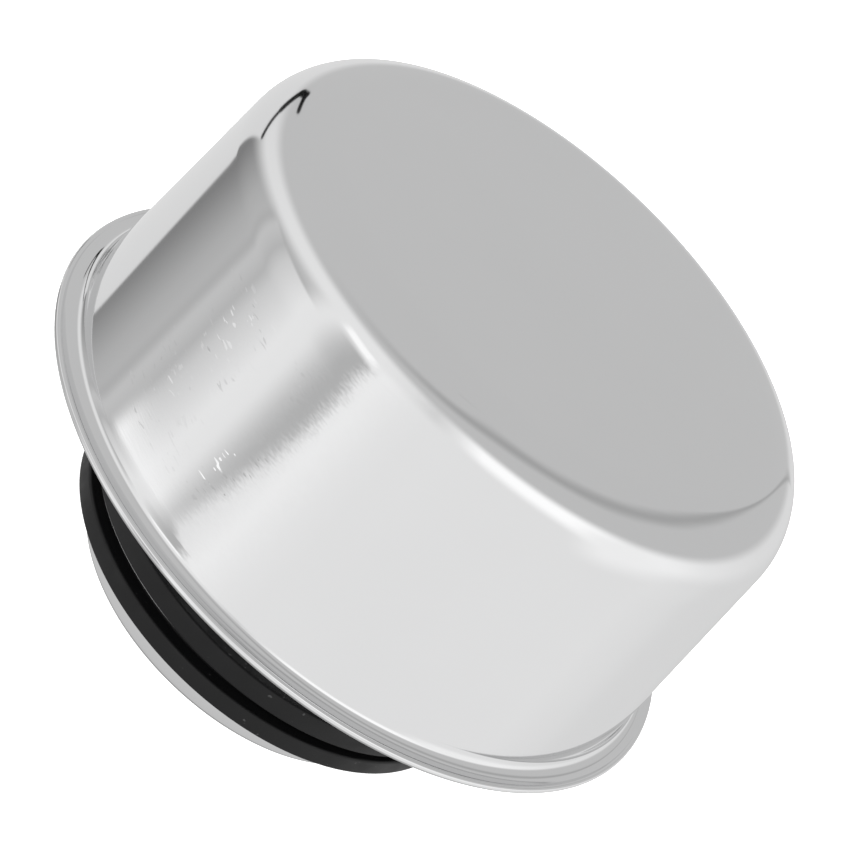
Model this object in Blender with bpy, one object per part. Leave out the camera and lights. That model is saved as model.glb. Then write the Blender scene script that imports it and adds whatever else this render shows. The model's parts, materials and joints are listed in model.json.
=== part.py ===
"""Push-in filler-breather cap: a chrome cup over a short neck that carries a two-lip rubber grommet.

Units are metres. z = 0 is the foot of the neck, and +Z runs up the common axis of every turned piece.
Under the cup, a pan carries a pleated air filter, and the neck holds a spring-loaded relief valve
with a small vacuum valve in its middle.
"""
from math import acos, atan, cos, pi, radians, sin, sqrt

import bmesh
import bpy

# ---- driving dimensions -------------------------------------------------------------------------
GAP = 0.0003                 # clearance kept between touching pieces

RIM_RADIUS = 0.0381          # cup, over the flat rim
RIM_Z = 0.02015              # middle of the rim's sheet
CUP_HEIGHT = 0.03195         # from the middle of the rim's sheet to the flat top
CUP_SHEET = 0.0006
WALL_RADIUS = 0.0357         # wall carried down to the height of the rim
WALL_TAPER = 0.0679          # radius lost per unit of height
CORNER_RADIUS = 0.0078       # top corner, outside
FILLET_RADIUS = 0.00155      # hollow between wall and rim

NECK_RADIUS = 0.0212         # outside
NECK_SHEET = 0.0010
NECK_FOOT_RADIUS = 0.00045   # rounding of the neck's open end
NECK_BEADS_Z = (0.0123, 0.0215)      # one stops the grommet, the other carries the pan
BEAD_LINE_RADIUS = 0.0013    # middle of the sheet in a bead
NECK_FLANGE_Z = 0.0246       # underside of the flange over the pan
NECK_FLANGE_RADIUS = 0.0230

GROMMET_RADIUS = 0.0248
GROMMET_GROOVE_RADIUS = 0.0229
GROMMET_Z = (0.0040, 0.00595, 0.00805, 0.0101)   # foot, groove floor, groove roof, top
GROMMET_EDGE = 0.00035

PAN_Z = 0.0235
PAN_SHEET = 0.0008
PAN_RADIUS = 0.0320
PAN_LIP_Z = 0.0285
TAB_COUNT = 3
TAB_HALF_ANGLE = radians(8)
TAB_RADIUS = 0.0336
TAB_TOP_Z = 0.0330

SEAT_WALL_RADIUS = NECK_RADIUS - NECK_SHEET - GAP
SEAT_SHEET = 0.0008
SEAT_FLOOR_Z = 0.0200
SEAT_HOLE_RADIUS = 0.0080
SEAT_LIP_WIDTH = 0.0012
SEAT_LIP_RISE = 0.0008

BRIDGE_SHEET = 0.0008
BRIDGE_TOP_Z = 0.0340        # underside of the crossing
BRIDGE_LEG_RADIUS = 0.0182   # outer face of a leg
BRIDGE_FOOT_RADIUS = 0.0125  # inner end of a foot
BRIDGE_HUB_RADIUS = 0.0105
BRIDGE_HUB_HOLE = 0.0030
BRIDGE_HALF_ANGLE = radians(11)
BRIDGE_LEGS = 3
BRIDGE_RIVET_RADIUS = 0.0009
BRIDGE_RIVET_CIRCLE = 0.0150

RELIEF_SEAL_THICK = 0.0012
RELIEF_SEAL_BORE = 0.0042
RELIEF_SEAL_RADIUS = 0.0108
RELIEF_PLATE_SHEET = 0.0008
RELIEF_PLATE_RADIUS = 0.0112
RELIEF_PLATE_HOLE = 0.0030
RELIEF_RIM_RISE = 0.0022
RELIEF_SPRING_RADIUS = 0.0090        # middle of the wire
RELIEF_WIRE_RADIUS = 0.0005
RELIEF_TURNS = 4.5

VACUUM_DISC_RADIUS = 0.0062
VACUUM_DISC_THICK = 0.0008
STEM_RADIUS = 0.0009
STEM_HEAD_RADIUS = 0.0017
STEM_HEAD_THICK = 0.0005
RETAINER_Z = 0.0292
RETAINER_THICK = 0.0006
RETAINER_RADIUS = 0.0050
VACUUM_SPRING_RADIUS = 0.0043
VACUUM_WIRE_RADIUS = 0.00025
VACUUM_TURNS = 4.5

CORE_RADIUS = 0.0246
CORE_SHEET = 0.0007
CORE_HOLE_RADIUS = 0.0016
CORE_HOLES_ROUND = 12
CORE_HOLE_ROWS_Z = (0.0310, 0.0370)
FILTER_INNER = 0.0249
FILTER_OUTER = 0.0306
FILTER_Z = (0.0259, 0.0416)
FILTER_PLEATS = 48
FILTER_PAPER = 0.0007
GASKET_THICK = 0.0010

COVER_Z = 0.0432
COVER_SHEET = 0.0008
COVER_RADIUS = 0.0317
COVER_RIM_Z = 0.0405
COVER_BOSS_RADIUS = 0.0090
COVER_BOSS_RISE = 0.0010

HOLD_SPRING_RADII = (0.0215, 0.0120)         # conical, foot and head
HOLD_WIRE_RADIUS = 0.0006
HOLD_TURNS = 3.0

BAFFLE_Z = 0.0115
BAFFLE_SHEET = 0.0008
BAFFLE_RADIUS = 0.0155
BAFFLE_DISH = 0.0012
BAFFLE_ARM_TOP_Z = 0.0157
BAFFLE_HALF_ANGLE = radians(9)
BAFFLE_ARMS = 3

SCREEN_Z = 0.0160
SCREEN_THICK = 0.0005
SCREEN_HOLE_RADIUS = 0.0014
SCREEN_PITCH = 0.0045
SCREEN_RINGS = 3
RING_WIRE_RADIUS = 0.0005
RING_RADIUS = 0.0191
RING_OPENING = radians(24)

STEPS = 48                   # facets round a large outside piece
INSIDE_STEPS = 32            # facets round a large inside piece
SMALL_STEPS = 28             # facets round a valve piece
RIVET_STEPS = 10
WIRE_SIDES = 6
HOLE_SIDES = 6
SHARP_ANGLE = radians(35)

# ---- materials ----------------------------------------------------------------------------------
CHROME = ("chrome", (0.80, 0.80, 0.81), 0.06, 1.0)
ZINC = ("zinc_steel", (0.55, 0.56, 0.57), 0.35, 1.0)
SPRING = ("spring_steel", (0.42, 0.42, 0.43), 0.30, 1.0)
BRASS = ("brass", (0.72, 0.55, 0.27), 0.30, 1.0)
RUBBER = ("black_rubber", (0.02, 0.02, 0.02), 0.55, 0.0)
PAPER = ("filter_paper", (0.72, 0.62, 0.42), 0.90, 0.0)
FELT = ("felt", (0.38, 0.37, 0.35), 0.95, 0.0)


def make_material(spec):
    """Return the Principled material of a spec, made once."""
    name, colour, roughness, metallic = spec
    if name in bpy.data.materials:
        return bpy.data.materials[name]
    material = bpy.data.materials.new(name)
    material.use_nodes = True
    shader = material.node_tree.nodes["Principled BSDF"]
    shader.inputs["Base Color"].default_value = (*colour, 1.0)
    shader.inputs["Roughness"].default_value = roughness
    shader.inputs["Metallic"].default_value = metallic
    return material


# ---- outlines: lists of (radius, z) -------------------------------------------------------------
def arc(centre, radius, start, end, pieces):
    """Points on an arc, both ends included."""
    points = []
    for i in range(pieces + 1):
        angle = start + (end - start) * i / pieces
        points.append((centre[0] + radius * cos(angle), centre[1] + radius * sin(angle)))
    return points


def band(inner, outer, low, high):
    """Outline of a plain ring with a rectangular section."""
    return [(inner, low), (outer, low), (outer, high), (inner, high)]


def disc(radius, low, high):
    """Outline of a plain disc."""
    return [(0, low), (radius, low), (radius, high), (0, high)]


# ---- solids -------------------------------------------------------------------------------------
def add_object(name, mesh_data, spec):
    """Turn a bmesh into a named object with its material, smooth but for its sharp edges."""
    bmesh.ops.recalc_face_normals(mesh_data, faces=mesh_data.faces)
    mesh = bpy.data.meshes.new(name)
    mesh_data.to_mesh(mesh)
    mesh_data.free()
    mesh.shade_smooth()
    mesh.set_sharp_from_angle(angle=SHARP_ANGLE)
    mesh.materials.append(make_material(spec))
    thing = bpy.data.objects.new(name, mesh)
    bpy.context.scene.collection.objects.link(thing)
    return thing


def add_turned(mesh_data, outline, steps, centre=(0, 0)):
    """Turn a closed outline about a vertical axis and add the solid to a bmesh."""
    rings = []
    for radius, z in outline:
        if radius == 0:
            rings.append([mesh_data.verts.new((centre[0], centre[1], z))])
            continue
        ring = []
        for step in range(steps):
            angle = 2 * pi * step / steps
            ring.append(mesh_data.verts.new((centre[0] + radius * cos(angle),
                                             centre[1] + radius * sin(angle), z)))
        rings.append(ring)
    for ring, after in zip(rings, rings[1:] + rings[:1]):
        if len(ring) == 1 and len(after) == 1:
            continue
        for step in range(steps):
            far = (step + 1) % steps
            if len(ring) == 1:
                corners = (ring[0], after[far], after[step])
            elif len(after) == 1:
                corners = (ring[step], ring[far], after[0])
            else:
                corners = (ring[step], ring[far], after[far], after[step])
            mesh_data.faces.new(corners)


def turned(name, outline, spec, steps=STEPS):
    """A turned piece on the Z axis."""
    mesh_data = bmesh.new()
    add_turned(mesh_data, outline, steps)
    return add_object(name, mesh_data, spec)


def add_sector(mesh_data, outline, middle, half_angle, steps):
    """Turn a closed outline through part of a turn, with flat ends, and add it to a bmesh."""
    rings = []
    for step in range(steps + 1):
        angle = middle - half_angle + 2 * half_angle * step / steps
        rings.append([mesh_data.verts.new((radius * cos(angle), radius * sin(angle), z))
                      for radius, z in outline])
    for ring, after in zip(rings, rings[1:]):
        for i in range(len(outline)):
            j = (i + 1) % len(outline)
            mesh_data.faces.new((ring[i], ring[j], after[j], after[i]))
    mesh_data.faces.new(rings[0])
    mesh_data.faces.new(rings[-1][::-1])


def add_wire(mesh_data, path, wire_radius):
    """Sweep a round wire along a path of (angle, radius, z) about the Z axis."""
    rings = []
    for angle, radius, z in path:
        ring = []
        for side in range(WIRE_SIDES):
            turn = 2 * pi * side / WIRE_SIDES
            reach = radius + wire_radius * cos(turn)
            ring.append(mesh_data.verts.new((reach * cos(angle), reach * sin(angle),
                                             z + wire_radius * sin(turn))))
        rings.append(ring)
    for ring, after in zip(rings, rings[1:]):
        for i in range(WIRE_SIDES):
            j = (i + 1) % WIRE_SIDES
            mesh_data.faces.new((ring[i], ring[j], after[j], after[i]))
    mesh_data.faces.new(rings[0])
    mesh_data.faces.new(rings[-1][::-1])


def coil(name, low, high, radii, wire_radius, turns, steps_per_turn=12):
    """A coil spring between two heights, with radii at its foot and head."""
    count = round(turns * steps_per_turn)
    path = []
    for step in range(count + 1):
        share = step / count
        angle = 2 * pi * turns * share
        radius = radii[0] + (radii[1] - radii[0]) * share
        z = low + wire_radius + (high - low - 2 * wire_radius) * share
        path.append((angle, radius, z))
    mesh_data = bmesh.new()
    add_wire(mesh_data, path, wire_radius)
    return add_object(name, mesh_data, SPRING)


def rod_cutter(mesh_data, start, end, radius):
    """Add a straight round rod between two points to a bmesh of cutters."""
    along = [b - a for a, b in zip(start, end)]
    length = sqrt(sum(part * part for part in along))
    along = [part / length for part in along]
    if abs(along[2]) > 0.5:
        side = (1.0, 0.0, 0.0)
    else:
        side = (0.0, 0.0, 1.0)
    other = (along[1] * side[2] - along[2] * side[1],
             along[2] * side[0] - along[0] * side[2],
             along[0] * side[1] - along[1] * side[0])
    rings = []
    for point in (start, end):
        ring = []
        for i in range(HOLE_SIDES):
            turn = 2 * pi * i / HOLE_SIDES
            offset = [radius * (side[k] * cos(turn) + other[k] * sin(turn)) for k in range(3)]
            ring.append(mesh_data.verts.new([point[k] + offset[k] for k in range(3)]))
        rings.append(ring)
    for i in range(HOLE_SIDES):
        j = (i + 1) % HOLE_SIDES
        mesh_data.faces.new((rings[0][i], rings[0][j], rings[1][j], rings[1][i]))
    mesh_data.faces.new(rings[0][::-1])
    mesh_data.faces.new(rings[1])


def combine(target, name, mesh_data, operation):
    """Join a bmesh to a piece, or cut it away, with a Boolean modifier."""
    tool = add_object(name, mesh_data, ZINC)
    tool.hide_render = True
    tool.display_type = "WIRE"
    modifier = target.modifiers.new(name, "BOOLEAN")
    modifier.operation = operation
    modifier.solver = "EXACT"
    modifier.object = tool


def evenly(count, start=0.0):
    """Angles spread evenly round a turn."""
    return [start + 2 * pi * i / count for i in range(count)]


# ---- cup ----------------------------------------------------------------------------------------
def cup_side(inset, corner_pieces):
    """One skin of the cup from the top's edge to the rim; inset 0 is the outer skin."""
    slope = atan(WALL_TAPER)
    corner_z = RIM_Z + CUP_HEIGHT - CORNER_RADIUS
    corner_r = WALL_RADIUS - WALL_TAPER * (corner_z - RIM_Z) - CORNER_RADIUS / cos(slope)
    fillet_z = RIM_Z + CUP_SHEET / 2 + FILLET_RADIUS
    fillet_r = WALL_RADIUS - WALL_TAPER * (fillet_z - RIM_Z) + FILLET_RADIUS / cos(slope)
    points = arc((corner_r, corner_z), CORNER_RADIUS - inset, pi / 2, slope, corner_pieces)
    points += arc((fillet_r, fillet_z), FILLET_RADIUS + inset, pi + slope, 3 * pi / 2, 5)
    return points


def make_cap_shell():
    """Deep-drawn chrome cup with a flat rim, its edge rounded over."""
    top = RIM_Z + CUP_HEIGHT
    edge = CUP_SHEET / 2
    outer = cup_side(0.0, corner_pieces=5)
    inner = cup_side(CUP_SHEET, corner_pieces=3)
    rim = arc((RIM_RADIUS - edge, RIM_Z), edge, pi / 2, -pi / 2, 4)
    turned("cap_shell", [(0, top)] + outer + rim + inner[::-1] + [(0, top - CUP_SHEET)], CHROME)


# ---- neck and grommet ---------------------------------------------------------------------------
def bead(z, inside):
    """One skin of a pressed bead, from below to above."""
    middle = NECK_RADIUS - NECK_SHEET / 2
    if inside:
        radius = BEAD_LINE_RADIUS - NECK_SHEET / 2
        limit = pi - acos(NECK_SHEET / 2 / radius)
    else:
        radius = BEAD_LINE_RADIUS + NECK_SHEET / 2
        limit = acos(NECK_SHEET / 2 / radius)
    return arc((middle, z), radius, -limit, limit, 3)


def make_neck_tube():
    """Neck with a rounded foot, two beads and a flange that clamps the pan."""
    foot = NECK_FOOT_RADIUS
    inner_radius = NECK_RADIUS - NECK_SHEET
    flange_top = NECK_FLANGE_Z + NECK_SHEET
    outline = arc((inner_radius + foot, foot), foot, pi, 3 * pi / 2, 3)
    outline += arc((NECK_RADIUS - foot, foot), foot, -pi / 2, 0, 3)
    for z in NECK_BEADS_Z:
        outline += bead(z, inside=False)
    outline += [(NECK_RADIUS, NECK_FLANGE_Z), (NECK_FLANGE_RADIUS, NECK_FLANGE_Z)]
    outline += [(NECK_FLANGE_RADIUS, flange_top), (inner_radius, flange_top)]
    for z in NECK_BEADS_Z[::-1]:
        outline += bead(z, inside=True)[::-1]
    turned("neck_tube", outline, CHROME)


def make_grommet():
    """Moulded rubber ring; a sheet's edge sits in the groove between its two lips."""
    bore = NECK_RADIUS + GAP
    foot, floor, roof, top = GROMMET_Z
    edge = GROMMET_EDGE
    outline = [(bore, foot)]
    outline += arc((GROMMET_RADIUS - edge, foot + edge), edge, -pi / 2, 0, 2)
    outline += arc((GROMMET_RADIUS - edge, floor - edge), edge, 0, pi / 2, 2)
    outline += [(GROMMET_GROOVE_RADIUS, floor), (GROMMET_GROOVE_RADIUS, roof)]
    outline += [(GROMMET_RADIUS, roof)]
    outline += arc((GROMMET_RADIUS - edge, top - edge), edge, 0, pi / 2, 2)
    outline += [(bore, top)]
    turned("grommet", outline, RUBBER)


# ---- pan ----------------------------------------------------------------------------------------
def make_base_pan():
    """Stamped pan with an upturned lip and three tabs that reach the cup's wall."""
    hole = NECK_RADIUS + GAP
    top = PAN_Z + PAN_SHEET
    inner = PAN_RADIUS - PAN_SHEET
    outline = [(hole, PAN_Z), (PAN_RADIUS, PAN_Z), (PAN_RADIUS, PAN_LIP_Z)]
    outline += [(inner, PAN_LIP_Z), (inner, top), (hole, top)]
    pan = turned("base_pan", outline, ZINC)
    root = PAN_RADIUS - PAN_SHEET / 2
    tab = [(root, PAN_LIP_Z - PAN_SHEET), (TAB_RADIUS, PAN_LIP_Z - PAN_SHEET), (TAB_RADIUS, TAB_TOP_Z),
           (TAB_RADIUS - PAN_SHEET, TAB_TOP_Z), (TAB_RADIUS - PAN_SHEET, PAN_LIP_Z + GAP),
           (root, PAN_LIP_Z + GAP)]
    tabs = bmesh.new()
    for angle in evenly(TAB_COUNT, radians(30)):
        add_sector(tabs, tab, angle, TAB_HALF_ANGLE, 2)
    combine(pan, "join_pan_tabs", tabs, "UNION")


# ---- relief valve -------------------------------------------------------------------------------
def seat_lip_top():
    """Height of the seat lip."""
    return SEAT_FLOOR_Z + SEAT_SHEET + SEAT_LIP_RISE


def rivet_points():
    """Centres of the bridge's rivets."""
    return [(BRIDGE_RIVET_CIRCLE * cos(a), BRIDGE_RIVET_CIRCLE * sin(a)) for a in evenly(BRIDGE_LEGS)]


def cut_rivet_holes(target, name, low, high):
    """Cut clearance holes for the bridge's rivets."""
    holes = bmesh.new()
    for x, y in rivet_points():
        rod_cutter(holes, (x, y, low), (x, y, high), BRIDGE_RIVET_RADIUS + GAP)
    combine(target, name, holes, "DIFFERENCE")


def make_valve_seat():
    """Cup pressed into the neck, with a raised lip round its central hole."""
    wall = SEAT_WALL_RADIUS
    floor_top = SEAT_FLOOR_Z + SEAT_SHEET
    rim_z = NECK_FLANGE_Z + NECK_SHEET + GAP
    lip = SEAT_HOLE_RADIUS + SEAT_LIP_WIDTH
    outline = [(SEAT_HOLE_RADIUS, SEAT_FLOOR_Z), (wall, SEAT_FLOOR_Z), (wall, rim_z)]
    outline += [(NECK_FLANGE_RADIUS, rim_z), (NECK_FLANGE_RADIUS, rim_z + SEAT_SHEET)]
    outline += [(wall - SEAT_SHEET, rim_z + SEAT_SHEET), (wall - SEAT_SHEET, floor_top)]
    outline += [(lip, floor_top), (lip, seat_lip_top()), (SEAT_HOLE_RADIUS, seat_lip_top())]
    seat = turned("valve_seat", outline, BRASS, INSIDE_STEPS)
    cut_rivet_holes(seat, "cut_seat_holes", SEAT_FLOOR_Z - GAP, floor_top + GAP)


def make_spring_bridge():
    """Three-legged stamped bridge over the relief spring."""
    top = BRIDGE_TOP_Z + BRIDGE_SHEET
    foot_z = SEAT_FLOOR_Z + SEAT_SHEET + GAP
    leg_inside = BRIDGE_LEG_RADIUS - BRIDGE_SHEET
    hub = band(BRIDGE_HUB_HOLE, BRIDGE_HUB_RADIUS, BRIDGE_TOP_Z, top)
    bridge = turned("spring_bridge", hub, ZINC, SMALL_STEPS)
    leg = [(BRIDGE_FOOT_RADIUS, foot_z), (BRIDGE_LEG_RADIUS, foot_z), (BRIDGE_LEG_RADIUS, top),
           (BRIDGE_HUB_RADIUS - BRIDGE_SHEET, top), (BRIDGE_HUB_RADIUS - BRIDGE_SHEET, BRIDGE_TOP_Z),
           (leg_inside, BRIDGE_TOP_Z), (leg_inside, foot_z + BRIDGE_SHEET),
           (BRIDGE_FOOT_RADIUS, foot_z + BRIDGE_SHEET)]
    legs = bmesh.new()
    for angle in evenly(BRIDGE_LEGS):
        add_sector(legs, leg, angle, BRIDGE_HALF_ANGLE, 2)
    combine(bridge, "join_bridge_legs", legs, "UNION")
    cut_rivet_holes(bridge, "cut_bridge_holes", foot_z - GAP, foot_z + BRIDGE_SHEET + GAP)


def make_bridge_rivets():
    """Rivets through the bridge's feet and the seat, one to a foot."""
    head = 1.8 * BRIDGE_RIVET_RADIUS
    low = SEAT_FLOOR_Z - GAP
    high = SEAT_FLOOR_Z + SEAT_SHEET + GAP + BRIDGE_SHEET + GAP
    thick = 0.6 * BRIDGE_RIVET_RADIUS
    shank = BRIDGE_RIVET_RADIUS
    outline = [(0, low - thick), (0.6 * head, low - thick), (head, low), (shank, low), (shank, high),
               (head, high), (0.6 * head, high + thick), (0, high + thick)]
    for number, point in enumerate(rivet_points(), 1):
        rivet = bmesh.new()
        add_turned(rivet, outline, RIVET_STEPS, point)
        add_object(f"bridge_rivet_{number}", rivet, ZINC)


def relief_seal_z():
    """Underside of the relief seal, resting on the seat lip."""
    return seat_lip_top() + GAP


def relief_plate_z():
    """Underside of the relief plate."""
    return relief_seal_z() + RELIEF_SEAL_THICK + GAP


def make_relief_valve():
    """Relief plate, its seal and its spring; plate and seal move up together."""
    seal_z = relief_seal_z()
    turned("relief_seal", band(RELIEF_SEAL_BORE, RELIEF_SEAL_RADIUS, seal_z, seal_z + RELIEF_SEAL_THICK),
           RUBBER, SMALL_STEPS)
    plate_z = relief_plate_z()
    plate_top = plate_z + RELIEF_PLATE_SHEET
    rim = RELIEF_PLATE_RADIUS - RELIEF_PLATE_SHEET
    outline = [(RELIEF_PLATE_HOLE, plate_z), (RELIEF_PLATE_RADIUS, plate_z)]
    outline += [(RELIEF_PLATE_RADIUS, plate_z + RELIEF_RIM_RISE), (rim, plate_z + RELIEF_RIM_RISE)]
    outline += [(rim, plate_top), (RELIEF_PLATE_HOLE, plate_top)]
    turned("relief_plate", outline, BRASS, SMALL_STEPS)
    coil("relief_spring", plate_top + GAP, BRIDGE_TOP_Z - GAP,
         (RELIEF_SPRING_RADIUS, RELIEF_SPRING_RADIUS), RELIEF_WIRE_RADIUS, RELIEF_TURNS)


def make_vacuum_valve():
    """Vacuum disc, stem, retainer and light spring in the middle of the relief plate."""
    disc_top = relief_seal_z() - GAP
    disc_low = disc_top - VACUUM_DISC_THICK
    hole = STEM_RADIUS + GAP
    turned("vacuum_disc", band(hole, VACUUM_DISC_RADIUS, disc_low, disc_top), BRASS, SMALL_STEPS)
    head_top = disc_low - GAP
    end_low = RETAINER_Z + RETAINER_THICK + GAP
    outline = [(0, head_top - STEM_HEAD_THICK), (STEM_HEAD_RADIUS, head_top - STEM_HEAD_THICK)]
    outline += [(STEM_HEAD_RADIUS, head_top), (STEM_RADIUS, head_top), (STEM_RADIUS, end_low)]
    outline += [(STEM_HEAD_RADIUS, end_low), (STEM_HEAD_RADIUS, end_low + STEM_HEAD_THICK)]
    outline += [(0, end_low + STEM_HEAD_THICK)]
    turned("vacuum_stem", outline, BRASS, RIVET_STEPS)
    turned("vacuum_retainer", band(hole, RETAINER_RADIUS, RETAINER_Z, RETAINER_Z + RETAINER_THICK),
           ZINC, SMALL_STEPS)
    coil("vacuum_spring", relief_plate_z() + RELIEF_PLATE_SHEET + GAP, RETAINER_Z - GAP,
         (VACUUM_SPRING_RADIUS, VACUUM_SPRING_RADIUS), VACUUM_WIRE_RADIUS, VACUUM_TURNS)


# ---- air filter ---------------------------------------------------------------------------------
def make_support_core():
    """Perforated steel tube inside the filter."""
    low = PAN_Z + PAN_SHEET + GAP
    tube = band(CORE_RADIUS - CORE_SHEET, CORE_RADIUS, low, COVER_Z - GAP)
    core = turned("support_core", tube, ZINC, INSIDE_STEPS)
    holes = bmesh.new()
    reach = (CORE_RADIUS - 2 * CORE_SHEET, CORE_RADIUS + CORE_SHEET)
    for row, z in enumerate(CORE_HOLE_ROWS_Z):
        for angle in evenly(CORE_HOLES_ROUND, (row % 2 + 0.5) * pi / CORE_HOLES_ROUND):
            start = (reach[0] * cos(angle), reach[0] * sin(angle), z)
            end = (reach[1] * cos(angle), reach[1] * sin(angle), z)
            rod_cutter(holes, start, end, CORE_HOLE_RADIUS)
    combine(core, "cut_core_holes", holes, "DIFFERENCE")


def make_filter_element():
    """Pleated ring of paper: a zigzag band with the same thickness all round."""
    low, high = FILTER_Z
    mesh_data = bmesh.new()
    rings = {}
    for z in (low, high):
        for side in ("in", "out"):
            ring = []
            for i, angle in enumerate(evenly(2 * FILTER_PLEATS)):
                if i % 2 == 0:
                    radius = FILTER_OUTER
                else:
                    radius = FILTER_INNER + FILTER_PAPER
                if side == "in":
                    radius -= FILTER_PAPER
                ring.append(mesh_data.verts.new((radius * cos(angle), radius * sin(angle), z)))
            rings[z, side] = ring
    loops = [rings[low, "in"], rings[low, "out"], rings[high, "out"], rings[high, "in"]]
    for ring, after in zip(loops, loops[1:] + loops[:1]):
        for i in range(len(ring)):
            j = (i + 1) % len(ring)
            mesh_data.faces.new((ring[i], ring[j], after[j], after[i]))
    add_object("filter_element", mesh_data, PAPER)


def make_gaskets():
    """Felt rings under and over the filter."""
    low = PAN_Z + PAN_SHEET + GAP
    ring = band(FILTER_INNER, FILTER_OUTER, low, low + GASKET_THICK)
    turned("lower_gasket", ring, FELT, INSIDE_STEPS)
    low = FILTER_Z[1] + GAP
    ring = band(FILTER_INNER, FILTER_OUTER, low, low + GASKET_THICK)
    turned("upper_gasket", ring, FELT, INSIDE_STEPS)


def make_element_cover():
    """Stamped lid over the filter, with a shallow boss and a turned-down rim."""
    top = COVER_Z + COVER_SHEET
    inner = COVER_RADIUS - COVER_SHEET
    boss = COVER_BOSS_RADIUS
    rise = COVER_BOSS_RISE
    outline = [(0, COVER_Z + rise), (boss - COVER_SHEET, COVER_Z + rise), (boss, COVER_Z)]
    outline += [(inner, COVER_Z), (inner, COVER_RIM_Z), (COVER_RADIUS, COVER_RIM_Z)]
    outline += [(COVER_RADIUS, top), (boss + COVER_SHEET, top), (boss, top + rise), (0, top + rise)]
    turned("element_cover", outline, ZINC, INSIDE_STEPS)


def make_hold_down_spring():
    """Conical spring between the lid and the cup's top."""
    coil("hold_down_spring", COVER_Z + COVER_SHEET + GAP, RIM_Z + CUP_HEIGHT - CUP_SHEET - GAP,
         HOLD_SPRING_RADII, HOLD_WIRE_RADIUS, HOLD_TURNS, 16)


# ---- inside the neck ----------------------------------------------------------------------------
def make_splash_baffle():
    """Dished disc on three arms that reach up the neck's bore."""
    top = BAFFLE_Z + BAFFLE_SHEET
    dish = BAFFLE_DISH
    flat = 0.6 * BAFFLE_RADIUS
    outline = [(0, BAFFLE_Z + dish), (flat - dish, BAFFLE_Z + dish), (flat, BAFFLE_Z)]
    outline += [(BAFFLE_RADIUS, BAFFLE_Z), (BAFFLE_RADIUS, top), (flat, top)]
    outline += [(flat - dish, top + dish), (0, top + dish)]
    baffle = turned("splash_baffle", outline, ZINC, INSIDE_STEPS)
    root = BAFFLE_RADIUS - BAFFLE_SHEET
    reach = SEAT_WALL_RADIUS
    arm = [(root, BAFFLE_Z), (reach, BAFFLE_Z), (reach, BAFFLE_ARM_TOP_Z),
           (reach - BAFFLE_SHEET, BAFFLE_ARM_TOP_Z), (reach - BAFFLE_SHEET, top), (root, top)]
    arms = bmesh.new()
    for angle in evenly(BAFFLE_ARMS, radians(90)):
        add_sector(arms, arm, angle, BAFFLE_HALF_ANGLE, 2)
    combine(baffle, "join_baffle_arms", arms, "UNION")


def make_strainer_screen():
    """Perforated disc over the baffle's arms, with rings of holes about its centre."""
    radius = SEAT_WALL_RADIUS
    plate = disc(radius, SCREEN_Z, SCREEN_Z + SCREEN_THICK)
    screen = turned("strainer_screen", plate, ZINC, INSIDE_STEPS)
    holes = bmesh.new()
    for ring in range(SCREEN_RINGS + 1):
        for angle in evenly(max(1, 6 * ring)):
            x = ring * SCREEN_PITCH * cos(angle)
            y = ring * SCREEN_PITCH * sin(angle)
            rod_cutter(holes, (x, y, SCREEN_Z - GAP), (x, y, SCREEN_Z + SCREEN_THICK + GAP),
                       SCREEN_HOLE_RADIUS)
    combine(screen, "cut_screen_holes", holes, "DIFFERENCE")


def make_screen_ring():
    """Open spring ring that holds the screen down on the arms."""
    z = SCREEN_Z + SCREEN_THICK + GAP + RING_WIRE_RADIUS
    span = 2 * pi - RING_OPENING
    path = [(RING_OPENING / 2 + span * i / STEPS, RING_RADIUS, z) for i in range(STEPS + 1)]
    mesh_data = bmesh.new()
    add_wire(mesh_data, path, RING_WIRE_RADIUS)
    add_object("screen_ring", mesh_data, SPRING)


def main():
    """Clear the scene and build every piece."""
    for thing in list(bpy.data.objects):
        bpy.data.objects.remove(thing, do_unlink=True)
    make_cap_shell()
    make_neck_tube()
    make_grommet()
    make_base_pan()
    make_valve_seat()
    make_spring_bridge()
    make_bridge_rivets()
    make_relief_valve()
    make_vacuum_valve()
    make_support_core()
    make_filter_element()
    make_gaskets()
    make_element_cover()
    make_hold_down_spring()
    make_splash_baffle()
    make_strainer_screen()
    make_screen_ring()


main()
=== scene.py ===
"""Looks of the push-in filler-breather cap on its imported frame: chrome, rubber, springs and studio.

Units are metres. +Z runs up the cap's axis, and the camera looks along +Y, slightly down.
"""
import json
from math import acos, atan, atan2, cos, pi, radians, sin, sqrt

import bmesh
import bpy
from mathutils import Matrix, Vector


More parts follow.
